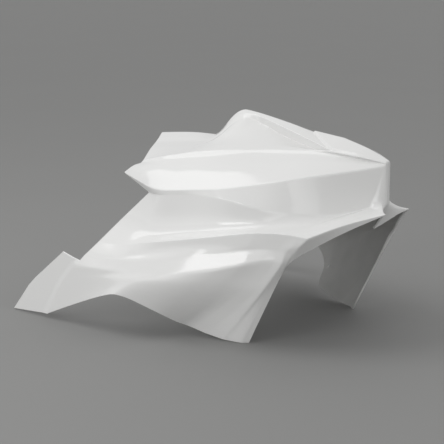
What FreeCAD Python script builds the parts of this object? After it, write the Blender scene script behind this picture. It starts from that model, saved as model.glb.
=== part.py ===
import FreeCAD, Part
import os
import Sketcher

Vector = FreeCAD.Vector

# Driving sizes in millimetres: name, value, what it measures.
SIZES = [
    ("drawn_length", 558, "length that the character lines are drawn at"),
    ("overall_length", 558, "horn tips to the tips of the rear tabs"),
    ("overall_width", 464, "across the two lap tabs and the wings above them"),
    ("overall_height", 314, "feet to the top of the hump"),
    ("wall", 2.6, "laminate thickness"),
    ("hump_rise", 44, "hump above the top spine"),
    ("nose_width", 12, "width of the upright blade at the nose"),
    ("nose_depth", 60, "height of the blade from brow to sill"),
    ("horn_spread", 56, "between the two corners of the front lip"),
    ("foot_spread", 248, "between the front edges of the two legs"),
    ("chin_depth", 22, "depth of the return flange under the lip"),
    ("strip_width", 35, "widest ruled strip of the skin"),
    ("edge_draft", 1.2, "lean of the rear edge, inner side further back"),
    ("shoulder_crown", 0.04, "bulge of the shoulder as a share of its height"),
    ("joggle", 1.6, "step from the skin down to the lap tab"),
    ("drawn_tab", 110, "height that the lap tab is drawn at"),
    ("tab_height", 110, "height of the lap tab at its top corner"),
    ("hole_diameter", 6, "fixing hole in the left leg"),
    ("hole_length", 30, "length of the drill through the left leg"),
]

# Midway between the horn tips and the tab tips, as drawn; the part is centred there.
DRAWN_MIDDLE = -114


def make_sheet(doc):
    """Spreadsheet of the driving sizes, one alias to a row."""
    sheet = doc.addObject("Spreadsheet::Sheet", "Sizes")
    for row, (alias, value, note) in enumerate(SIZES, start=1):
        sheet.set(f"A{row}", note)
        sheet.set(f"B{row}", str(value))
        sheet.setAlias(f"B{row}", alias)
    doc.recompute()
    return sheet


doc = FreeCAD.newDocument("headlight_fairing")
sheet = make_sheet(doc)


def size(alias):
    return float(sheet.get(alias))


def character_lines():
    """Right half of the outer skin: lines from tail to mouth, as (x, half width, z).

    Every line has the same eleven stations: the rear edge, six along the body, the nose or the
    front of the flank, the foot of the nose, the rim of the mouth and the free edge of the
    return flange. A line with its flag set is a crease; the surface flows over the others.
    """
    nose = size("nose_width") / 2
    horn = size("horn_spread") / 2
    foot = size("foot_spread") / 2
    side = size("overall_width") / 2
    top = size("overall_height")
    spine = top - size("hump_rise")
    brow = 258
    sill = brow - size("nose_depth")
    chin = sill - size("chin_depth") + 5
    return [
        ("spine", True, [
            (-293, 0, spine - 7), (-210, 0, spine + 3), (-176, 0, spine - 5),
            (-132, 0, top + 2), (-90, 0, top - 2), (-11, 0, top - 17), (71, 0, top - 22),
            (148, 0, brow + 7), (148, 0, sill + 7), (156, 0, sill - 3), (155, 0, chin)]),
        ("hump_edge", True, [
            (-276, 25, spine - 12), (-198, 22, spine - 2), (-162, 21, spine - 5),
            (-120, 11, top - 3), (-86, 8, top - 4), (-6, 11, top - 22), (68, 26, 278),
            (147.5, 0.5 * nose, brow + 6), (148, 0.4 * nose, sill + 7),
            (157, 0.25 * horn, sill - 3), (155, 0.2 * horn, chin)]),
        ("hump_groove", True, [
            (-266, 42, spine - 16), (-186, 38, spine - 6), (-150, 35, spine - 6),
            (-112, 19, top - 9), (-78, 15, top - 9), (-14, 18, top - 26), (60, 31, 274),
            (147, 0.8 * nose, brow + 5), (147.5, 0.6 * nose, sill + 7),
            (159, 0.45 * horn, sill - 3), (155, 0.4 * horn, chin)]),
        ("shoulder_crease", True, [
            (-200, 135, 244), (-171, 128, 252), (-143, 119, 258), (-114, 110, 264),
            (-75, 90, 268), (-25, 64, 271), (55, 35, 273), (146.5, 0.95 * nose, brow + 3),
            (147, 0.8 * nose, sill + 7), (161, 0.65 * horn, sill - 3), (154, 0.55 * horn, chin)]),
        ("brow", True, [
            (-189, 185, 234), (-163, 178, 222), (-138, 171, 211), (-83, 162, 218),
            (-32, 146, 223), (17, 117, 232), (82, 70, 246), (146, nose, brow),
            (146, nose, sill + 7), (163, 0.85 * horn, sill - 2), (153, 0.7 * horn, chin)]),
        ("lamp_sill", True, [
            (-155, 168, 206), (-146, 168, 205), (-130, 167, 206), (-80, 158, 212),
            (-26, 150, 211), (30, 127, 197), (95, 58, 185), (132, 20, sill + 2),
            (146, 1.4 * nose, sill + 6), (165, horn, sill - 2), (152, 0.85 * horn, chin - 2)]),
        ("scallop", False, [
            (-200, 182, 162), (-172, 175, 168), (-137, 167, 174), (-80, 158, 181),
            (-15, 144, 182), (36, 126, 178), (76, 104, 177), (99, 90, 178),
            (116, 79, 180), (127, 70, 183), (121, 66, 161)]),
        ("side_ridge", True, [
            (-211, 219, 133), (-176, 208, 131), (-134, 198, 140), (-80, 186, 152),
            (-23, 170, 163), (26, 152, 170), (58, 137, 171), (77, 128, 170),
            (89, 122, 168), (100, 116, 166), (88, 112, 137)]),
        ("ridge_groove", False, [
            (-220, 227, 121), (-188, 211, 112), (-145, 196, 121), (-91, 184, 133),
            (-34, 168, 144), (16, 150, 151), (47, 137, 154), (65, 130, 154),
            (79, 126, 154), (90, 122, 154), (81, 117, 130)]),
        ("flank", False, [
            (-239, side - 1, 102), (-199, side - 3, 105), (-146, side - 15, 108),
            (-88, 204, 113), (-35, 188, 121), (12, 168, 133), (41, 150, 136),
            (56, 140, 134), (66, 133, 131), (73, 128, 127), (70, foot - 4, 121)]),
        ("skirt", False, [
            (-278, side, 61), (-226, side, 73), (-166, side - 4, 86), (-121, 214, 86),
            (-86, 195, 79), (-49, 170, 72), (-13, 151, 72), (12, 143, 73),
            (27, 138, 74), (36, foot + 9, 75), (41, foot, 76)]),
        ("lower_edge", True, [
            (-313, side, 7), (-260, side, 30), (-192, side, 57), (-154, side + 3, 68),
            (-117, 200, 43), (-106, 165, 23), (-100, 147, 15), (-69, 142, 7),
            (-37, 138, 2), (-9, foot + 8, 0), (0, foot, 0)]),
    ]


# Stations where the skin turns a corner: nose, foot of the nose and rim of the mouth.
CORNER_STATIONS = (0, 7, 8, 9, 10)


def crowned(above, below, crown):
    """Line midway between two others, raised outwards by a share of their spacing."""
    line = []
    for high, low in zip(above, below):
        across = low - high
        lift = Vector(0, across.z, -across.y)
        line.append((high + low) / 2 + lift * crown)
    return line


def placed_lines():
    """Right half's lines by name, stretched to length and centred, and the creased names."""
    lines = character_lines()
    stretch = size("overall_length") / size("drawn_length")
    placed = {name: [Vector((x - DRAWN_MIDDLE) * stretch, -half, z) for x, half, z in points]
              for name, _, points in lines}
    shoulder = crowned(placed["shoulder_crease"], placed["brow"], size("shoulder_crown"))
    creased = {name for name, crease, _ in lines if crease}
    named = {}
    for name, points in placed.items():
        if name == "brow":
            named["shoulder"] = shoulder
        named[name] = points
    return named, creased


DEGREE = 2


def clamped_knots(count, degree):
    """Knots and multiplicities of an even clamped spline of that many poles."""
    spans = count - degree
    knots = [k / spans for k in range(spans + 1)]
    return knots, [degree + 1] + [1] * (spans - 1) + [degree + 1]


def section_points(poles, strips):
    """Even points along the section through a run of lines, straight between two creases."""
    degree = min(DEGREE, len(poles) - 1)
    knots, mults = clamped_knots(len(poles), degree)
    section = Part.BSplineCurve()
    section.buildFromPolesMultsKnots(list(poles), mults, knots, False, degree)
    return [section.value(k / strips) for k in range(strips + 1)]


def strip_count(run):
    """Ruled strips that cover a run of lines, none much wider than the strip width."""
    widest = max(sum(a.distanceToPoint(b) for a, b in zip(poles, poles[1:])) for poles in zip(*run))
    return max(1, round(widest / size("strip_width")))


def outer_net():
    """Lines of the whole outer skin, from the right lower edge over the spine to the left one.

    Between two creases the section is a quadratic spline over the lines there, and the skin
    takes a ruled strip from each point of it to the next.
    """
    named, creased = placed_lines()
    names = list(named)
    half = [named[names[0]]]
    start = 0
    for stop in range(1, len(names)):
        if names[stop] in creased:
            run = [named[name] for name in names[start:stop + 1]]
            strips = strip_count(run)
            sections = [section_points(poles, strips) for poles in zip(*run)]
            half += [list(line) for line in zip(*sections)][1:]
            start = stop
    left = [[Vector(p.x, -p.y, p.z) for p in line] for line in half[1:]]
    return half[::-1] + left


def facet_normal(net, i, j):
    """Outward normal of one facet of the net."""
    across = net[i + 1][j + 1] - net[i][j]
    over = net[i][j + 1] - net[i + 1][j]
    return over.cross(across).normalize()


# The inner skin leaves a sharp corner of the outer one by at most this many walls.
MOST_LEAN = 1.6


def inner_net(net, depth, draft):
    """The net moved inwards: each pole keeps the wall's depth from every facet beside it.

    The rear edge leans back by the draft, so that nothing overhangs the lap tabs.
    """
    last_line = len(net) - 1
    last_station = len(net[0]) - 1
    lines = []
    for i, line in enumerate(net):
        moved = []
        for j, pole in enumerate(line):
            normals = [facet_normal(net, a, b)
                       for a in {max(i - 1, 0), min(i, last_line - 1)}
                       for b in {max(j - 1, 0), min(j, last_station - 1)}]
            mean = Vector()
            for normal in normals:
                mean += normal
            if i in (0, last_line):
                mean.z = 0
            mean.normalize()
            upright = sum(normal.dot(mean) for normal in normals) / len(normals)
            moved.append(pole - mean * depth * min(1 / upright, MOST_LEAN))
        moved[0] += (line[0] - line[1]).normalize() * draft
        lines.append(moved)
    return lines


def spline_face(net):
    """Face of the even B-spline surface over a net of poles."""
    u_degree = min(DEGREE, len(net) - 1)
    v_degree = min(DEGREE, len(net[0]) - 1)
    u_knots, u_mults = clamped_knots(len(net), u_degree)
    v_knots, v_mults = clamped_knots(len(net[0]), v_degree)
    surface = Part.BSplineSurface()
    surface.buildFromPolesMultsKnots(
        net, u_mults, v_mults, u_knots, v_knots, False, False, u_degree, v_degree)
    return surface.toShape()


def strip_faces(line, beside):
    """Ruled faces between two lines, cut at the corner stations."""
    return [spline_face([line[start:stop + 1], beside[start:stop + 1]])
            for start, stop in zip(CORNER_STATIONS, CORNER_STATIONS[1:])]


def make_skin():
    """Closed skin: outer and inner strips, joined along the free edges."""
    outer = outer_net()
    inner = inner_net(outer, size("wall"), size("edge_draft"))
    faces = strip_faces(outer[0], inner[0]) + strip_faces(outer[-1], inner[-1])
    for net in (outer, inner):
        for line, beside in zip(net, net[1:]):
            faces += strip_faces(line, beside)
    for end in (0, -1):
        edge = [[line[end], lining[end]] for line, lining in zip(outer, inner)]
        faces += [spline_face(list(pair)) for pair in zip(edge, edge[1:])]
    shell = Part.makeShell(faces)
    shell.sewShape()
    solid = Part.makeSolid(shell)
    if solid.Volume < 0:
        solid.reverse()
    skin = doc.addObject("Part::Feature", "Skin")
    skin.Shape = solid
    return skin


# Outline of the lap tab as drawn, (x, z): front top under the skin, top corner, kink, tip,
# foot, and front foot under the skin.
TAB_OUTLINE = [(-231, 98), (-275, 110), (-351, 51), (-393, 1), (-340, 0), (-303, 11)]


def make_right_tab():
    """Flat lap tab behind the right wing's rear edge, one joggle below its outer face."""
    body = doc.addObject("PartDesign::Body", "RightTab")
    plane = next(f for f in body.Origin.OriginFeatures if f.Role == "XZ_Plane")
    sketch = body.newObject("Sketcher::SketchObject", "TabOutline")
    sketch.AttachmentSupport = (plane, [""])
    sketch.MapMode = "FlatFace"
    corners = [Vector(x - DRAWN_MIDDLE, z, 0) for x, z in TAB_OUTLINE]
    count = len(corners)
    for k, corner in enumerate(corners):
        sketch.addGeometry(Part.LineSegment(corner, corners[(k + 1) % count]), False)
    for k in range(count):
        sketch.addConstraint(Sketcher.Constraint("Coincident", k, 2, (k + 1) % count, 1))
    for k, corner in enumerate(corners):
        along = sketch.addConstraint(Sketcher.Constraint("DistanceX", -1, 1, k, 1, corner.x))
        sketch.setExpression(f"Constraints[{along}]",
                             f"{corner.x} * Sizes.overall_length / Sizes.drawn_length")
        up = sketch.addConstraint(Sketcher.Constraint("DistanceY", -1, 1, k, 1, corner.y))
        sketch.setExpression(f"Constraints[{up}]",
                             f"{corner.y} * Sizes.tab_height / Sizes.drawn_tab")
    pad = body.newObject("PartDesign::Pad", "TabPlate")
    pad.Profile = sketch
    pad.setExpression("Length", "Sizes.wall")
    pad.Reversed = True
    body.setExpression("Placement.Base.y", "Sizes.joggle - Sizes.overall_width / 2")
    return body


def make_left_tab(right_tab):
    """Mirror image of the right lap tab."""
    tab = doc.addObject("Part::Mirroring", "LeftTab")
    tab.Source = right_tab
    tab.Normal = Vector(0, 1, 0)
    return tab


# Stations of the left leg between which the fixing hole lies, and its share of the way from
# the first to the second and of the way down from the skirt line to the lower edge.
HOLE_STATIONS = (4, 5)
HOLE_FORWARD = 0.55
HOLE_DOWN = 0.7


def make_hole():
    """Drill for the fixing hole, square to the left leg's skin beside its lower edge."""
    named, _ = placed_lines()
    rear, front = HOLE_STATIONS
    skirt = named["skirt"]
    edge = named["lower_edge"]
    upper = skirt[rear] + (skirt[front] - skirt[rear]) * HOLE_FORWARD
    lower = edge[rear] + (edge[front] - edge[rear]) * HOLE_FORWARD
    centre = upper + (lower - upper) * HOLE_DOWN
    along = (skirt[front] - skirt[rear]) * (1 - HOLE_DOWN) + (edge[front] - edge[rear]) * HOLE_DOWN
    axis = along.cross(lower - upper).normalize()
    left = FreeCAD.Matrix()
    left.scale(1, -1, 1)
    axis = left.multVec(axis)
    start = left.multVec(centre) - axis * size("hole_length") / 2
    hole = doc.addObject("Part::Cylinder", "FixingHole")
    hole.setExpression("Radius", "Sizes.hole_diameter / 2")
    hole.setExpression("Height", "Sizes.hole_length")
    hole.Placement = FreeCAD.Placement(start, FreeCAD.Rotation(Vector(0, 0, 1), axis))
    return hole


def make_fairing():
    """The one-piece moulding: skin with its two lap tabs, drilled once."""
    right_tab = make_right_tab()
    moulding = doc.addObject("Part::MultiFuse", "Moulding")
    moulding.Shapes = [make_skin(), right_tab, make_left_tab(right_tab)]
    fairing = doc.addObject("Part::Cut", "Fairing")
    fairing.Base = moulding
    fairing.Tool = make_hole()
    fairing.Label = "fairing_shell"
    return fairing


def write(sub_part):
    """Checks the whole document and writes the sub-part under its label."""
    doc.recompute()
    for item in doc.Objects:
        if {"Invalid", "Error"} & set(item.State):
            raise RuntimeError(f"{item.Label} failed: {item.State}")
    shape = sub_part.Shape
    if shape.isNull() or not shape.isValid() or len(shape.Solids) != 1:
        raise RuntimeError(f"{sub_part.Label} is not one sound solid")
    os.makedirs("parts", exist_ok=True)
    shape.exportStep(f"parts/{sub_part.Label}.step")
    box = shape.BoundBox
    print(f"{sub_part.Label}: {box.XLength:.1f} x {box.YLength:.1f} x {box.ZLength:.1f} mm,"
          f" centre {box.Center.x:.2f} {box.Center.y:.2f}, base {box.ZMin:.2f},"
          f" {shape.Volume / 1000:.0f} cm3")


write(make_fairing())
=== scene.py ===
import math

import bpy
import numpy as np
from bpy.props import FloatProperty, FloatVectorProperty, PointerProperty
from bpy.types import Operator, Panel, PropertyGroup
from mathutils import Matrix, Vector


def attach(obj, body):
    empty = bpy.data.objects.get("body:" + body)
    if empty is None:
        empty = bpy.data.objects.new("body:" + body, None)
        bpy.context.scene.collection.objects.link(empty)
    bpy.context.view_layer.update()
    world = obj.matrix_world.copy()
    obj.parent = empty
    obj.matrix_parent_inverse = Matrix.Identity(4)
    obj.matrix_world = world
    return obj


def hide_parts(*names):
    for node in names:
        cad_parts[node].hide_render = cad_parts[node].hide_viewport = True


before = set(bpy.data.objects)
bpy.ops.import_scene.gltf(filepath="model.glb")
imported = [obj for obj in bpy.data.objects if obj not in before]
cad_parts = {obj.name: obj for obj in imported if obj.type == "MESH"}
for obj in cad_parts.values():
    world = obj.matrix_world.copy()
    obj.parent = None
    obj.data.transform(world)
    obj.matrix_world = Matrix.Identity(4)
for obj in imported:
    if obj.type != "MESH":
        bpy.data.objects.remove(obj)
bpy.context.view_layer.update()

bl_info = {
    "name": "Nose fairing",
    "version": (1, 0, 0),
    "blender": (4, 5, 0),
    "location": "3D View > Sidebar > Fairing",
    "description": "Moulded motorcycle headlight fairing in white gelcoat, on a studio floor",
    "category": "Object",
}

MM = 0.001
SKIN_NAME = "fairing_skin"
TAB_NAMES = ("right_lap_tab", "left_lap_tab")


def linear(hex_colour):
    """Linear RGBA of an sRGB hex colour: c / 12.92 below 0.04045, else ((c + 0.055) / 1.055) ^ 2.4."""
    channels = [int(hex_colour[k:k + 2], 16) / 255 for k in (1, 3, 5)]
    return tuple(c / 12.92 if c <= 0.04045 else ((c + 0.055) / 1.055) ** 2.4 for c in channels) + (1.0,)


class FairingSizes(PropertyGroup):
    """Sizes of the moulding that a user would change."""

    wall: FloatProperty(
        name="Wall", description="Thickness of the laminate",
        default=2.6 * MM, min=1 * MM, max=5 * MM, unit="LENGTH")
    corner: FloatProperty(
        name="Corner", description="Reach of the rounding at the nose, its foot and the hood",
        default=5 * MM, min=1 * MM, max=20 * MM, unit="LENGTH")
    rim: FloatProperty(
        name="Rim", description="Reach of the rounding where the flange turns into the mouth",
        default=14 * MM, min=1 * MM, max=30 * MM, unit="LENGTH")
    shoulder_step: FloatProperty(
        name="Shoulder step", description="Drop from the deck to the shoulder along its crease",
        default=1.8 * MM, min=0, max=6 * MM, unit="LENGTH")
    shoulder_crown: FloatProperty(
        name="Shoulder crown", description="Bulge of the shoulder as a share of its height",
        default=0.04, min=0, max=0.2, subtype="FACTOR")
    joggle: FloatProperty(
        name="Joggle", description="Step from the skin down to a lap tab",
        default=1.6 * MM, min=0, max=5 * MM, unit="LENGTH")
    joggle_run: FloatProperty(
        name="Joggle run", description="Length of the bend that makes the step",
        default=14 * MM, min=2 * MM, max=40 * MM, unit="LENGTH")
    hole: FloatProperty(
        name="Fixing hole", description="Diameter of the hole in the left leg",
        default=6 * MM, min=2 * MM, max=12 * MM, unit="LENGTH")


class FairingFinish(PropertyGroup):
    """Colours of the moulding and its studio."""

    gelcoat: FloatVectorProperty(
        name="Gelcoat", description="White face of the moulding",
        default=linear("#E6E6E5"), size=4, min=0, max=1, subtype="COLOR")
    laminate: FloatVectorProperty(
        name="Laminate", description="Resin and glass on the inside",
        default=linear("#B2B2B0"), size=4, min=0, max=1, subtype="COLOR")
    floor: FloatVectorProperty(
        name="Floor", description="Paper floor",
        default=linear("#8E8E8D"), size=4, min=0, max=1, subtype="COLOR")


# Character lines of the right half, from the spine down to the lower edge, in millimetres: name, reach of
# the crease as (station, reach) marks, and (distance forward, half width, height) at each station. The
# stations run from the rear edge over the body to the nose or the front of the flank, its foot, the rim
# of the mouth and the free edge of the flange. The surface flows over a line that has no marks.
# The lines from the spine to the deck have three more stations, where the hump ends and the hood begins.
CHARACTER_LINES = [
    ("spine", [(4, 40), (5, 3)], [
        (-293, 0, 263), (-210, 0, 273), (-176, 0, 265), (-132, 0, 315.7), (-95, 0, 313.3),
        (-25, 0, 301.5), (13, 0, 292), (16, 0, 295), (69.5, 0, 290), (115, 0, 279), (148, 0, 265),
        (148, 0, 204), (136, 0, 184), (125, 0, 165)]),
    ("hump_edge", [(3, 40), (4, 2)], [
        (-276, 25, 258), (-198, 22, 268), (-162, 21, 265), (-120, 11, 311), (-91, 4, 309),
        (-25, 15, 296), (62, 26.5, 275.5), (70, 27.5, 278), (70, 27.5, 278), (112, 18, 273.5),
        (147.5, 3, 264.5), (148, 2.4, 204), (140, 4.6, 186), (133, 5.6, 171)]),
    ("hump_groove", [(3, 40), (4, 2)], [
        (-266, 42, 254), (-186, 38, 264), (-150, 35, 264), (-112, 19, 305), (-88, 4.5, 300),
        (-29, 10, 281), (56, 24, 268), (68, 30, 274.5), (69, 30, 274.5), (113, 20.5, 270.5),
        (147, 4.8, 263), (147.5, 3.6, 204), (144, 9, 188.5), (141, 11.2, 177.5)]),
    ("deck", [], [
        (-240, 80, 251), (-182, 78, 258.5), (-147, 74, 262.5), (-113, 60, 274), (-77, 46, 281),
        (-22, 38, 277.5), (30, 36, 275), (52, 34, 274.5), (72, 32.5, 274), (115, 21.5, 269.5),
        (146.8, 5.2, 262), (147, 4.2, 204), (146, 11, 189.5), (144, 13.2, 180)]),
    ("shoulder_crease", [(0, 3)], [
        (-200, 135, 244), (-171, 128, 252), (-143, 119, 258), (-114, 110, 264), (-75, 90, 268),
        (-25, 64, 271), (55, 35, 273), (146.5, 5.7, 261), (147, 4.8, 204), (148, 13, 190.5),
        (147, 15.4, 182.5)]),
    ("brow", [(0, 4)], [
        (-189, 185, 234), (-163, 178, 222), (-138, 171, 211), (-87, 158, 216.4), (-32, 146, 223),
        (17, 117, 232), (82, 70, 246), (146, 6, 258), (146, 6.5, 204), (153.5, 18, 193),
        (153, 20, 187.5)]),
    ("lamp_foot", [], [
        (-163.5, 172, 213), (-150, 170.5, 209), (-132, 169.8, 206.5), (-86, 157.8, 211.9),
        (-27.5, 149, 214), (27, 124.5, 206), (92, 61, 200), (135.5, 16.5, 213), (145, 10.5, 206),
        (157, 21.5, 194.5), (157, 23.5, 190)]),
    ("lamp_sill", [(3, 6), (5, 7), (6, 30), (8, 12), (9, 3)], [
        (-155, 168, 206), (-146, 168, 205), (-130, 169.5, 205), (-85, 157.5, 210.4),
        (-26, 150, 211), (30, 127, 197), (95, 58, 185), (132, 20, 200), (145, 20, 198),
        (165, 28, 196), (164, 27.6, 194)]),
    ("scallop", [], [
        (-200, 182, 162), (-172, 176, 169), (-142, 177, 149), (-93, 164, 157), (-30, 154.5, 169),
        (19, 132, 174.5), (76, 104, 177), (99, 90, 178), (116, 79, 180), (127, 70, 183),
        (123, 67, 170)]),
    ("side_ridge", [(0, 2.5)], [
        (-219, 211, 129.8), (-180, 204, 129.4), (-134, 198, 139.5), (-80, 186, 149.5),
        (-23, 170, 160.5), (26, 152, 170), (58, 137, 171), (77, 128, 170), (89, 122, 168),
        (100, 116, 166), (82, 110, 139)]),
    ("ridge_groove", [], [
        (-226, 221, 118.6), (-180, 219, 115.1), (-140, 201, 123), (-86, 189, 135), (-29, 173, 146),
        (21, 155, 153), (50, 140, 155), (67, 132, 155), (80, 127, 154), (89, 122, 154),
        (74, 116, 132)]),
    ("flare_top", [(2, 40), (3, 12), (5, 10), (9, 40)], [
        (-235, 226, 108.8), (-192, 224, 109), (-140, 209, 115), (-86, 195, 124), (-32, 177, 134),
        (16, 157, 144), (44, 143, 147), (60, 135, 146.5), (71, 130, 145), (76, 123.5, 140.2),
        (70, 118, 128)]),
    ("flare_foot", [(2, 40), (3, 14), (5, 12), (9, 40)], [
        (-246, 231.5, 94), (-203, 231, 96), (-146, 218, 98), (-84, 202, 104), (-26, 183, 111),
        (20, 163, 125), (45, 147, 131), (58, 138, 130), (67, 133, 128), (67, 125, 123.8),
        (64, 121, 120.8)]),
    ("skirt", [], [
        (-278, 232, 61), (-226, 232, 73), (-166, 228, 86), (-117, 218, 87.5), (-78, 203, 82),
        (-39, 180, 76), (-5, 159, 75), (17, 148, 75), (31, 141, 75.5), (34.6, 131.6, 74),
        (41, 124, 76)]),
    ("lower_edge", [], [
        (-313, 232, 7), (-260, 232, 30), (-192, 232, 57), (-158, 231, 66.5), (-114, 203, 43),
        (-101, 170, 22), (-92, 155, 15), (-64, 147, 7), (-35, 140, 1.5), (-9, 132, 0), (0, 124, 0)]),
]
HUMP_LINES = ("spine", "hump_edge", "hump_groove")
# Distance forward, as drawn, of the part's middle, which stands at x = 0.
DRAWN_MIDDLE = -114
# How many stations lie behind the hood, then the stations where the hump's lines turn at the hood, those
# of the nose and its foot, and that of the rim.
BODY_STATIONS = 6
HOOD_STATIONS = (6, 7, 8)
NOSE_STATIONS = (10, 11)
RIM_STATION = 12
# A line of no more points than this has one station at the hood, where four are needed. It gets them at
# these shares of the leg before that station and of the leg after it.
PLAIN_STATIONS = 11
SHARES_BEFORE = (0.45, 0.8)
SHARES_AFTER = (0.2, 0.6)
# Steps of the grid from each station to the next, and from each pole of a section to the next.
STATION_SAMPLES = (10, 8, 10, 10, 10, 8, 5, 8, 8, 10, 14, 12, 12)
ACROSS_SAMPLES = 5


def with_hood_stations(points):
    """A line's points with four at the hood, two on each leg beside its one station there.

    They are before + share * (station - before) and station + share * (after - station), in place of
    the station.
    """
    points = np.array(points, float)
    if len(points) > PLAIN_STATIONS:
        return points
    before, at, after = points[BODY_STATIONS - 1:BODY_STATIONS + 2]
    legs = [before + (at - before) * share for share in SHARES_BEFORE]
    legs += [at + (after - at) * share for share in SHARES_AFTER]
    return np.concatenate([points[:BODY_STATIONS], legs, points[BODY_STATIONS + 1:]])


# The foot of the shoulder's step, as a share of the way from the shoulder crease to the brow, and the
# deepest step, as a share of that way too.
STEP_FOOT = 0.14
STEP_LIMIT = 0.05


def drawn_lines(sizes):
    """Right half's lines as one array (line, station, xyz) in metres, their names and crease reaches.

    Two lines are added between the shoulder crease and the brow: the foot of the step under the
    crease, a little way down and sunk by the step, and the shoulder, midway and raised by its crown.
    """
    names = [line[0] for line in CHARACTER_LINES]
    net = np.array([with_hood_stations(points) for _, _, points in CHARACTER_LINES])
    stations = np.arange(net.shape[1])
    reach = np.array([np.interp(stations, *zip(*(marks or [(0, 0)]))) for _, marks, _ in CHARACTER_LINES])
    net[..., 0] -= DRAWN_MIDDLE
    net[..., 1] *= -1
    net *= MM
    brow = names.index("brow")
    across = net[brow] - net[brow - 1]
    lift = np.stack([np.zeros(len(across)), across[:, 2], -across[:, 1]], axis=-1)
    depth = np.minimum(sizes.shoulder_step / np.linalg.norm(lift, axis=-1, keepdims=True), STEP_LIMIT)
    foot = net[brow - 1] + STEP_FOOT * across - depth * lift
    shoulder = (net[brow] + net[brow - 1]) / 2 + sizes.shoulder_crown * lift
    net = np.insert(net, [brow, brow], [foot, shoulder], axis=0)
    reach = np.insert(reach, [brow, brow], 0, axis=0)
    names[brow:brow] = ["shoulder_foot", "shoulder"]
    return net, names, reach * MM


# Times this, a point (x, y, z) of the right half gives its fellow on the left, (x, -y, z).
MIRROR = np.array([1, -1, 1])


def both_halves(right, left):
    """Rows of the whole skin, from the right lower edge over the spine, which both share, to the left."""
    return np.concatenate([right[::-1], left[1:]])


# Anything smaller is taken as no area or no length, and no corner is mitred past this cosine.
NO_AREA = 1e-12
NO_LENGTH = 1e-9
LEAST_COSINE = 0.62


def lined_net(net, wall):
    """The net moved in by the wall: each pole keeps that depth from the facets around it.

    A facet's normal is the cross product of its diagonals; a pole moves along the mean of its
    facets' normals by wall / (mean cosine to them), so that corners stay mitred. Poles of the lower
    edges move level.
    """
    facet = np.cross(net[:-1, 1:] - net[1:, :-1], net[1:, 1:] - net[:-1, :-1])
    facet /= np.maximum(np.linalg.norm(facet, axis=-1, keepdims=True), NO_AREA)
    padded = np.pad(facet, ((1, 1), (1, 1), (0, 0)), mode="edge")
    around = np.stack([padded[:-1, :-1], padded[:-1, 1:], padded[1:, :-1], padded[1:, 1:]])
    mean = around.mean(axis=0)
    mean[[0, -1], :, 2] = 0
    mean /= np.linalg.norm(mean, axis=-1, keepdims=True)
    cosine = np.clip((around * mean).sum(axis=-1).mean(axis=0), LEAST_COSINE, 1)
    return net - mean * (wall / cosine)[..., None]


def spline_basis(count, t):
    """Values at t of the quadratic B-splines of an even clamped knot row with that many poles.

    Cox and de Boor: N(i, d) = (t - k[i]) / (k[i+d] - k[i]) N(i, d-1)
    + (k[i+d+1] - t) / (k[i+d+1] - k[i+1]) N(i+1, d-1), where an empty span counts as nought.
    """
    spans = count - 2
    t = np.asarray(t, float)[:, None]
    knots = np.concatenate([[0, 0], np.arange(spans + 1), [spans, spans]]).astype(float)
    values = ((knots[:-1] <= t) & (t < knots[1:])).astype(float)
    values[t[:, 0] >= spans, spans + 1] = 1
    for degree in (1, 2):
        rise = knots[degree:-1] - knots[:-degree - 1]
        fall = knots[degree + 1:] - knots[1:-degree]
        up = np.divide(t - knots[:-degree - 1], rise, out=np.zeros((len(t), len(rise))), where=rise > 0)
        down = np.divide(knots[degree + 1:] - t, fall, out=np.zeros((len(t), len(fall))), where=fall > 0)
        values = up * values[:, :-1] + down * values[:, 1:]
    return values


# Poles beside a firmed row lie no further than this share of the way to the next row.
FIRM_SHARE = 0.4


def firmed(rows, reach):
    """Poles with two more beside each row whose reach isn't nought, and where each row then stands.

    A quadratic spline turns close to a row that has them. They lie on the way to the rows beside it,
    row + way * min(reach / length, share). A row stands at the middle of its pole's knots.
    """
    poles = []
    places = []
    for k, row in enumerate(rows):
        inside = 0 < k < len(rows) - 1 and np.any(reach[k] > 0)
        beside = []
        if inside:
            for way in (rows[k - 1] - row, rows[k + 1] - row):
                length = np.maximum(np.linalg.norm(way, axis=-1, keepdims=True), NO_LENGTH)
                beside.append(row + way * np.minimum(np.asarray(reach[k])[..., None] / length, FIRM_SHARE))
        poles += [beside[0], row, beside[1]] if inside else [row]
        places.append(len(poles) - 2 if inside else len(poles) - 1)
    places = np.clip(np.array(places) - 0.5, 0, len(poles) - 2)
    places[-1] = len(poles) - 2
    return np.array(poles), places


def line_curves(net, sizes, hump):
    """Points along every line at the same shares of its stations: L(i, v), a quadratic spline each.

    All lines turn at the nose and the rim; those of the hump turn at the hood's stations too.
    """
    stations = np.arange(net.shape[1])
    v = np.concatenate([k + np.arange(n) / n for k, n in enumerate(STATION_SAMPLES)] + [stations[-1:]])
    curves = []
    for points, on_hump in zip(net, hump):
        reach = np.zeros(len(stations))
        reach[list(NOSE_STATIONS + (HOOD_STATIONS if on_hump else ()))] = sizes.corner
        reach[RIM_STATION] = sizes.rim
        poles, places = firmed(points, reach)
        curves.append(spline_basis(len(poles), np.interp(v, stations, places)) @ poles)
    return np.array(curves), v


def skin_surface(net, reach, hump, sizes):
    """Points S(u, v) = sum of N(i, u) L(i, v): quadratic splines across the curves of the lines."""
    curves, v = line_curves(net, sizes, hump)
    reaches = np.array([np.interp(v, np.arange(len(row)), row) for row in reach])
    poles, _ = firmed(curves, reaches)
    u = np.linspace(0, len(poles) - 2, (len(poles) - 2) * ACROSS_SAMPLES + 1)
    return np.einsum("ai,ijk->ajk", spline_basis(len(poles), u), poles)


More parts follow.
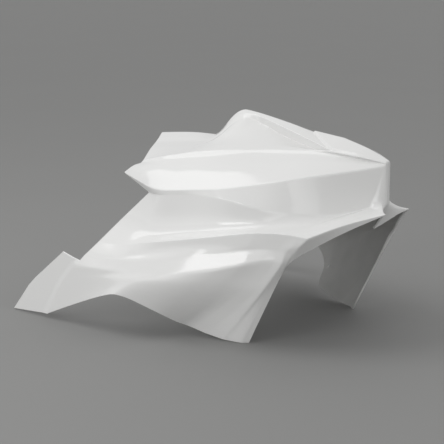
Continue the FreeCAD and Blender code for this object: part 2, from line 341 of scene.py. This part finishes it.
def grid_faces(rows, columns):
    """Quads of a grid of vertices, row by row: (i, j), (i, j + 1), (i + 1, j + 1), (i + 1, j)."""
    index = np.arange(rows * columns).reshape(rows, columns)
    corners = [index[:-1, :-1], index[:-1, 1:], index[1:, 1:], index[1:, :-1]]
    return np.stack(corners, axis=-1).reshape(-1, 4)


def round_border(grid):
    """Values once round the border of a grid, down its first column and back along its first row."""
    return np.concatenate([grid[:-1, 0], grid[-1, :-1], grid[:0:-1, -1], grid[0, :0:-1]])


# Angles round a free edge at which it has vertices, in degrees, and how far it bulges.
ROUNDED_EDGE = (45, 90, 135)
EDGE_BULGE = 0.6 * MM


def walled_mesh(name, outer, inner, joined):
    """Closed mesh of an outer grid and an inner one, with a rounded free edge between them.

    The edge is half an ellipse: middle + half the wall * cos(a) + bulge * sin(a) outwards; the bulge is
    nought where the grid is joined to another piece. Faces of the inner grid take material 1, and the
    borders of both grids are sharp, so that their shading isn't bent by the edge.
    """
    rows, columns = outer.shape[:2]
    count = rows * columns
    index = np.arange(count).reshape(rows, columns)
    next_in = index.copy()
    next_in[0], next_in[-1] = index[1], index[-2]
    next_in[:, 0], next_in[:, -1] = next_in[:, 1], next_in[:, -2]
    loop, near = round_border(index), round_border(next_in)
    grids = [outer.reshape(-1, 3).copy(), inner.reshape(-1, 3).copy()]
    out = grids[0][loop] - grids[0][near]
    out *= EDGE_BULGE / np.maximum(np.linalg.norm(out, axis=-1, keepdims=True), NO_LENGTH)
    out[round_border(joined)] = 0
    for grid in grids:
        grid[loop] -= out
    middle = (grids[0][loop] + grids[1][loop]) / 2
    half = (grids[0][loop] - grids[1][loop]) / 2
    edge = [middle + half * math.cos(a) + out * math.sin(a) for a in np.radians(ROUNDED_EDGE)]
    points = np.concatenate(grids + edge)
    between = [2 * count + k * len(loop) + np.arange(len(loop)) for k in range(len(edge))]
    rings = [loop] + between + [count + loop]
    quads = [grid_faces(rows, columns)]
    for ring, beside in zip(rings, rings[1:]):
        quads.append(np.stack([ring, beside, np.roll(beside, -1), np.roll(ring, -1)], axis=-1))
    quads.append(grid_faces(rows, columns)[:, ::-1] + count)
    lining = np.concatenate([np.zeros(sum(len(q) for q in quads[:-1]), int), np.ones(len(quads[-1]), int)])
    mesh = bpy.data.meshes.new(name)
    mesh.from_pydata(points, [], np.concatenate(quads))
    mesh.polygons.foreach_set("material_index", lining)
    mesh.polygons.foreach_set("use_smooth", np.ones(len(lining), bool))
    ends = np.empty(2 * len(mesh.edges), int)
    mesh.edges.foreach_get("vertices", ends)
    on_border = np.zeros(len(points), bool)
    on_border[np.concatenate([loop, count + loop])] = True
    mesh.edges.foreach_set("use_edge_sharp", on_border[ends.reshape(-1, 2)].all(axis=1))
    mesh.update()
    return mesh


def placed(mesh, *materials):
    """Object of the mesh, at the origin, with those materials, riding on the one body."""
    for material in materials:
        mesh.materials.append(material)
    piece = bpy.data.objects.new(mesh.name, mesh)
    bpy.context.scene.collection.objects.link(piece)
    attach(piece, "root")
    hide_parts("fairing_shell")
    return piece


def add(tree, kind, links=(), **settings):
    """Adds a node, sets its sockets or properties by name, and links (source node, output, input)."""
    node = tree.nodes.new(kind)
    for key, value in settings.items():
        if key in node.inputs:
            node.inputs[key].default_value = value
        else:
            setattr(node, key, value)
    for source, output, socket in links:
        tree.links.new(source.outputs[output], node.inputs[socket])
    return node


def new_material(name):
    """Empty node material and its tree."""
    material = bpy.data.materials.new(name)
    material.use_nodes = True
    material.node_tree.nodes.clear()
    return material, material.node_tree


# Cured polyester resin, and the height of the relief on both faces at full strength.
RESIN_IOR = 1.52
RELIEF = 0.5 * MM

# Gelcoat: size and darkest share of its clouds, pitch and strength of its ripple, and range of roughness.
GELCOAT_CLOUDS = 110 * MM
GELCOAT_SHADE = 0.97
GELCOAT_RIPPLE = 6 * MM
GELCOAT_RIPPLE_STRENGTH = 0.02
GELCOAT_ROUGHNESS = (0.07, 0.12)


def white_gelcoat(finish):
    """Polyester gelcoat off a polished mould: glossy white, a little uneven, with fine ripple.

    To the eye it is a clean white with sharp lamp images that waver slightly. The ripple is the print
    of the glass behind it.
    """
    material, tree = new_material("white polyester gelcoat")
    place = add(tree, "ShaderNodeTexCoord")
    clouds = add(tree, "ShaderNodeTexNoise", [(place, "Object", "Vector")], Scale=1 / GELCOAT_CLOUDS,
                 Detail=3.0)
    tint = add(tree, "ShaderNodeMix", [(clouds, "Fac", "Factor")], data_type="RGBA")
    tint.inputs["A"].default_value = finish.gelcoat
    tint.inputs["B"].default_value = tuple(c * GELCOAT_SHADE for c in finish.gelcoat[:3]) + (1.0,)
    gloss = add(tree, "ShaderNodeMapRange", [(clouds, "Fac", "Value")])
    gloss.inputs["To Min"].default_value = GELCOAT_ROUGHNESS[0]
    gloss.inputs["To Max"].default_value = GELCOAT_ROUGHNESS[1]
    ripple = add(tree, "ShaderNodeTexNoise", [(place, "Object", "Vector")], Scale=1 / GELCOAT_RIPPLE,
                 Detail=2.0)
    bump = add(tree, "ShaderNodeBump", [(ripple, "Fac", "Height")],
               Strength=GELCOAT_RIPPLE_STRENGTH, Distance=RELIEF)
    shader = add(tree, "ShaderNodeBsdfPrincipled", [
        (tint, "Result", "Base Color"), (gloss, "Result", "Roughness"),
        (bump, "Normal", "Normal")], IOR=RESIN_IOR)
    add(tree, "ShaderNodeOutputMaterial", [(shader, "BSDF", "Surface")])
    return material


# Laminate: pitch and strength of its strands, size and darkest share of its clouds, and its roughness.
LAMINATE_STRANDS = 9 * MM
LAMINATE_STRAND_STRENGTH = 0.25
LAMINATE_CLOUDS = 33 * MM
LAMINATE_SHADE = 0.8
LAMINATE_ROUGHNESS = 0.55


def glass_laminate(finish):
    """Chopped glass mat wetted with resin: grey-white, half matt, lumpy where strands cross.

    To the eye it is a dull, cloudy grey. Real strands are about 2 mm wide; they are drawn coarser, so
    that they show.
    """
    material, tree = new_material("glass mat laminate")
    place = add(tree, "ShaderNodeTexCoord")
    strands = add(tree, "ShaderNodeTexVoronoi", [(place, "Object", "Vector")], Scale=1 / LAMINATE_STRANDS)
    clouds = add(tree, "ShaderNodeTexNoise", [(place, "Object", "Vector")], Scale=1 / LAMINATE_CLOUDS,
                 Detail=6.0)
    tint = add(tree, "ShaderNodeMix", [(clouds, "Fac", "Factor")], data_type="RGBA")
    tint.inputs["A"].default_value = finish.laminate
    tint.inputs["B"].default_value = tuple(c * LAMINATE_SHADE for c in finish.laminate[:3]) + (1.0,)
    bump = add(tree, "ShaderNodeBump", [(strands, "Distance", "Height")],
               Strength=LAMINATE_STRAND_STRENGTH, Distance=RELIEF)
    shader = add(tree, "ShaderNodeBsdfPrincipled", [
        (tint, "Result", "Base Color"), (bump, "Normal", "Normal")],
        Roughness=LAMINATE_ROUGHNESS, IOR=RESIN_IOR)
    add(tree, "ShaderNodeOutputMaterial", [(shader, "BSDF", "Surface")])
    return material


def finish_material(name, maker):
    """The named material, made the first time it is asked for."""
    return bpy.data.materials.get(name) or maker(bpy.context.scene.fairing_finish)


def moulding_materials():
    """Materials of the moulding's outside and of its inside."""
    return (finish_material("white polyester gelcoat", white_gelcoat),
            finish_material("glass mat laminate", glass_laminate))


# Lap tab: the height below which the rear edge carries it, the skin's face beside it, and its free edge
# from the top corner over a kink to the tip, as (distance forward, height) drawn.
TAB_TOP = 102 * MM
TAB_FACE = 232 * MM
TAB_EDGE = [(-275, 110), (-351, 51), (-393, 1)]
# Steps of the grid along a tab, and the power that gathers them at the joggle.
TAB_SAMPLES = 40
TAB_GATHERING = 1.6


class FairingSkin:
    """The skin's outer and inner grids, and the rows of its rear edge that carry the lap tabs."""

    def __init__(self, sizes):
        half, names, reach = drawn_lines(sizes)
        hump = np.array([name in HUMP_LINES for name in names])
        net = both_halves(half, half * MIRROR)
        reach = both_halves(reach, reach)
        hump = both_halves(hump, hump)
        self.outer = skin_surface(net, reach, hump, sizes)
        self.inner = skin_surface(lined_net(net, sizes.wall), reach, hump, sizes)
        self.tabbed = np.zeros(self.outer.shape[:2], bool)
        self.tabbed[:, 0] = self.outer[:, 0, 2] < TAB_TOP


# Fixing hole in the left leg: a point on its axis, the axis, and half the length and the sides of the tool
# that cuts it.
HOLE_CENTRE = np.array([15.9, 180.1, 45.7]) * MM
HOLE_AXIS = np.array([0.5432, 0.6096, -0.5773])
HOLE_REACH = 16 * MM
HOLE_SIDES = 32


def hole_tool(radius):
    """Closed cylinder on the hole's axis: C + r (cos(a) U + sin(a) V) + t A for t from -reach to reach."""
    first = np.cross(HOLE_AXIS, (0, 0, 1))
    first /= np.linalg.norm(first)
    second = np.cross(HOLE_AXIS, first)
    a = np.linspace(0, 2 * math.pi, HOLE_SIDES, endpoint=False)[:, None]
    ring = HOLE_CENTRE + radius * (np.cos(a) * first + np.sin(a) * second)
    near, far = np.arange(HOLE_SIDES), np.arange(HOLE_SIDES) + HOLE_SIDES
    sides = np.stack([near, np.roll(near, -1), np.roll(far, -1), far], axis=-1)
    mesh = bpy.data.meshes.new("hole_tool")
    mesh.from_pydata(np.concatenate([ring - HOLE_REACH * HOLE_AXIS, ring + HOLE_REACH * HOLE_AXIS]), [],
                     sides.tolist() + [near[::-1].tolist(), far.tolist()])
    return bpy.data.objects.new("hole_tool", mesh)


def cut(piece, tool):
    """Take a tool's volume out of a piece's mesh, then drop the tool."""
    bpy.context.scene.collection.objects.link(tool)
    difference = piece.modifiers.new("cut", "BOOLEAN")
    difference.operation = "DIFFERENCE"
    difference.solver = "EXACT"
    difference.object = tool
    before = len(piece.data.polygons)
    drilled = bpy.data.meshes.new_from_object(piece.evaluated_get(bpy.context.evaluated_depsgraph_get()))
    piece.modifiers.remove(difference)
    bpy.data.objects.remove(tool)
    if len(drilled.polygons) <= before:
        raise RuntimeError("the hole doesn't meet " + piece.name)
    piece.data = drilled


class FAIRING_OT_skin(Operator):
    """Moulded skin from the lower edges over the spine, with its wall, rounded edges and fixing hole"""

    bl_idname = "fairing.skin"
    bl_label = "Skin"

    def execute(self, context):
        sizes = context.scene.fairing_sizes
        skin = FairingSkin(sizes)
        piece = placed(walled_mesh(SKIN_NAME, skin.outer, skin.inner, skin.tabbed), *moulding_materials())
        cut(piece, hole_tool(sizes.hole / 2))
        return {"FINISHED"}


def tab_grids(edge, sizes):
    """Grids of a lap tab behind one side's rear edge: P(s, t) = edge(s) + t (free edge(s) - edge(s)).

    Across, it steps in to a plane one joggle below the skin's face: y = edge + (plane - edge) *
    (3 r^2 - 2 r^3), where r is the distance from the edge over the joggle's run, at most 1.
    """
    share = np.concatenate([[0], np.cumsum(np.linalg.norm(np.diff(edge, axis=0), axis=-1))])
    share /= share[-1]
    drawn = np.array(TAB_EDGE, float)
    corners = np.concatenate([[0], np.cumsum(np.linalg.norm(np.diff(drawn, axis=0), axis=-1))])
    free = np.stack([(np.interp(share, corners / corners[-1], drawn[:, 0]) - DRAWN_MIDDLE) * MM, edge[:, 1],
                     np.interp(share, corners / corners[-1], drawn[:, 1]) * MM], axis=-1)
    t = (np.linspace(0, 1, TAB_SAMPLES) ** TAB_GATHERING)[None, :, None]
    outer = edge[:, None] + t * (free - edge)[:, None]
    run = np.linalg.norm((outer - edge[:, None])[..., [0, 2]], axis=-1) / sizes.joggle_run
    bend = np.minimum(run, 1)
    side = np.sign(edge[0, 1])
    plane = side * (TAB_FACE - sizes.joggle)
    outer[..., 1] += (plane - outer[..., 1]) * (3 * bend ** 2 - 2 * bend ** 3)
    inner = outer - np.array([0, side * sizes.wall, 0])
    return outer, inner


class FAIRING_OT_lap_tabs(Operator):
    """Lap tabs behind the wings, each stepped in from the skin by a joggle"""

    bl_idname = "fairing.lap_tabs"
    bl_label = "Lap tabs"

    def execute(self, context):
        sizes = context.scene.fairing_sizes
        skin = FairingSkin(sizes)
        edge = skin.outer[skin.tabbed[:, 0], 0]
        right = edge[edge[:, 1] < 0][::-1]
        left = edge[edge[:, 1] > 0]
        for name, rows in zip(TAB_NAMES, (right, left)):
            outer, inner = tab_grids(rows, sizes)
            # Both run from the top down, which on the right would turn the faces inwards.
            if rows is right:
                outer, inner = outer[::-1], inner[::-1]
            joined = np.zeros(outer.shape[:2], bool)
            joined[:, 0] = True
            placed(walled_mesh(name, outer, inner, joined), *moulding_materials())
        return {"FINISHED"}


# The camera stands where the photo was taken from: bearing from the right-hand side towards the nose,
# height angle, distance, the point it looks at, focal length and frame in pixels, and sensor in mm.
CAMERA_BEARING = math.radians(42.16)
CAMERA_RISE = math.radians(11.91)
CAMERA_DISTANCE = 2.2
CAMERA_TARGET = (-50.2 * MM, 0.0, 134.4 * MM)
FOCAL_PIXELS = 1419
FRAME_PIXELS = 444
SENSOR_WIDTH = 36.0


def towards_camera():
    """Unit vector from the target to the camera: (sin(b) cos(r), -cos(b) cos(r), sin(r)).

    Here b is the bearing and r the rise.
    """
    flat = math.cos(CAMERA_RISE)
    forward = math.sin(CAMERA_BEARING) * flat
    across = -math.cos(CAMERA_BEARING) * flat
    return np.array([forward, across, math.sin(CAMERA_RISE)])


def turned_to(spot, target):
    """Rotation that points an object's -Z from a spot to a target, with its X level."""
    return (Vector(target) - Vector(spot)).to_track_quat("-Z", "Y").to_euler()


def add_camera():
    """The scene's camera, where the photo was taken from; its lens is sensor * focal / frame pixels."""
    camera = bpy.data.cameras.new("photo camera")
    camera.sensor_width = SENSOR_WIDTH
    camera.lens = SENSOR_WIDTH * FOCAL_PIXELS / FRAME_PIXELS
    holder = bpy.data.objects.new("photo camera", camera)
    holder.location = np.array(CAMERA_TARGET) + CAMERA_DISTANCE * towards_camera()
    holder.rotation_euler = turned_to(holder.location, CAMERA_TARGET)
    bpy.context.scene.collection.objects.link(holder)
    bpy.context.scene.camera = holder


# Softboxes: name, spot, the point each faces, width and height in metres, power in watts, and whether a
# flag keeps it off the floor.
SOFTBOXES = (
    ("overhead softbox", (-0.7, -0.8, 1.9), (0, 0, 0.15), 1.2, 1.2, 9.0, False),
    ("key softbox", (0.0, -2.06, 0.94), (0, 0, 0.15), 0.9, 0.5, 6.2, False),
    ("low softbox", (-0.45, -2.25, 0.5), (0, 0, 0.15), 2.6, 0.9, 4.0, True),
    ("front softbox", (1.3, -1.5, 0.3), (0.05, 0, 0.12), 1.2, 0.5, 2.4, True),
)
AIR_COLOUR = "#C8C8C8"
AIR_STRENGTH = 1.15


def add_softbox(name, spot, target, width, height, power):
    """Rectangular area lamp at a spot, facing a target, seen only in reflections; gives its object."""
    lamp = bpy.data.lights.new(name, "AREA")
    lamp.shape = "RECTANGLE"
    lamp.size = width
    lamp.size_y = height
    lamp.energy = power
    holder = bpy.data.objects.new(name, lamp)
    holder.location = spot
    holder.rotation_euler = turned_to(spot, target)
    holder.visible_camera = False
    bpy.context.scene.collection.objects.link(holder)
    return holder


def flag_off_floor(softboxes):
    """Keep softboxes off everything but the moulding, as flags below them do in a studio."""
    moulding = bpy.data.collections.new("moulding")
    for name in (SKIN_NAME,) + TAB_NAMES:
        moulding.objects.link(bpy.data.objects[name])
    for softbox in softboxes:
        softbox.light_linking.receiver_collection = moulding


# Floor: half its side in metres, size and darkest share of its clouds, and its roughness.
FLOOR_REACH = 60.0
PAPER_CLOUDS = 330 * MM
PAPER_SHADE = 0.97
PAPER_ROUGHNESS = 0.8


def floor_mesh():
    """Level square at z = 0, large enough to fill every view: its corners are (+-reach, +-reach)."""
    side = np.array([-FLOOR_REACH, FLOOR_REACH])
    across, along = np.meshgrid(side, side)
    mesh = bpy.data.meshes.new("paper_floor")
    mesh.from_pydata(np.stack([across, along, np.zeros((2, 2))], axis=-1).reshape(-1, 3), [],
                     grid_faces(len(side), len(side)))
    mesh.update()
    return mesh


def paper(finish):
    """Matt studio paper, faintly mottled: to the eye an even grey with no shine."""
    material, tree = new_material("studio paper")
    place = add(tree, "ShaderNodeTexCoord")
    clouds = add(tree, "ShaderNodeTexNoise", [(place, "Object", "Vector")], Scale=1 / PAPER_CLOUDS,
                 Detail=4.0)
    tint = add(tree, "ShaderNodeMix", [(clouds, "Fac", "Factor")], data_type="RGBA")
    tint.inputs["A"].default_value = finish.floor
    tint.inputs["B"].default_value = tuple(c * PAPER_SHADE for c in finish.floor[:3]) + (1.0,)
    shader = add(tree, "ShaderNodeBsdfPrincipled", [(tint, "Result", "Base Color")],
                 Roughness=PAPER_ROUGHNESS)
    add(tree, "ShaderNodeOutputMaterial", [(shader, "BSDF", "Surface")])
    return material


class FAIRING_OT_stage(Operator):
    """Paper floor, soft lamps and the camera"""

    bl_idname = "fairing.stage"
    bl_label = "Stage"

    def execute(self, context):
        scene = context.scene
        floor = bpy.data.objects.new("paper_floor", floor_mesh())
        floor.data.materials.append(finish_material("studio paper", paper))
        scene.collection.objects.link(floor)
        flagged = []
        for *softbox, has_flag in SOFTBOXES:
            holder = add_softbox(*softbox)
            if has_flag:
                flagged.append(holder)
        flag_off_floor(flagged)
        world = bpy.data.worlds.new("studio air")
        world.use_nodes = True
        background = world.node_tree.nodes["Background"]
        background.inputs["Color"].default_value = linear(AIR_COLOUR)
        background.inputs["Strength"].default_value = AIR_STRENGTH
        scene.world = world
        scene.view_settings.view_transform = "Standard"
        add_camera()
        return {"FINISHED"}


class FAIRING_PT_sidebar(Panel):
    """Sizes, finishes and pieces of the fairing"""

    bl_idname = "FAIRING_PT_sidebar"
    bl_label = "Fairing"
    bl_space_type = "VIEW_3D"
    bl_region_type = "UI"
    bl_category = "Fairing"

    def draw(self, context):
        column = self.layout.column()
        for group in (context.scene.fairing_sizes, context.scene.fairing_finish):
            for name in group.__annotations__:
                column.prop(group, name)
        for operator in OPERATORS:
            column.operator(operator.bl_idname)


OPERATORS = (FAIRING_OT_skin, FAIRING_OT_lap_tabs, FAIRING_OT_stage)
CLASSES = (FairingSizes, FairingFinish) + OPERATORS + (FAIRING_PT_sidebar,)


def register():
    """Add the classes to Blender and the two groups to its scenes."""
    for cls in CLASSES:
        bpy.utils.register_class(cls)
    bpy.types.Scene.fairing_sizes = PointerProperty(type=FairingSizes)
    bpy.types.Scene.fairing_finish = PointerProperty(type=FairingFinish)


def unregister():
    """Take away what register adds, in reverse."""
    del bpy.types.Scene.fairing_finish
    del bpy.types.Scene.fairing_sizes
    for cls in reversed(CLASSES):
        bpy.utils.unregister_class(cls)


def main():
    """Build the pieces and the stage."""
    register()
    bpy.ops.fairing.skin()
    bpy.ops.fairing.lap_tabs()
    bpy.ops.fairing.stage()


if __name__ == "__main__":
    main()
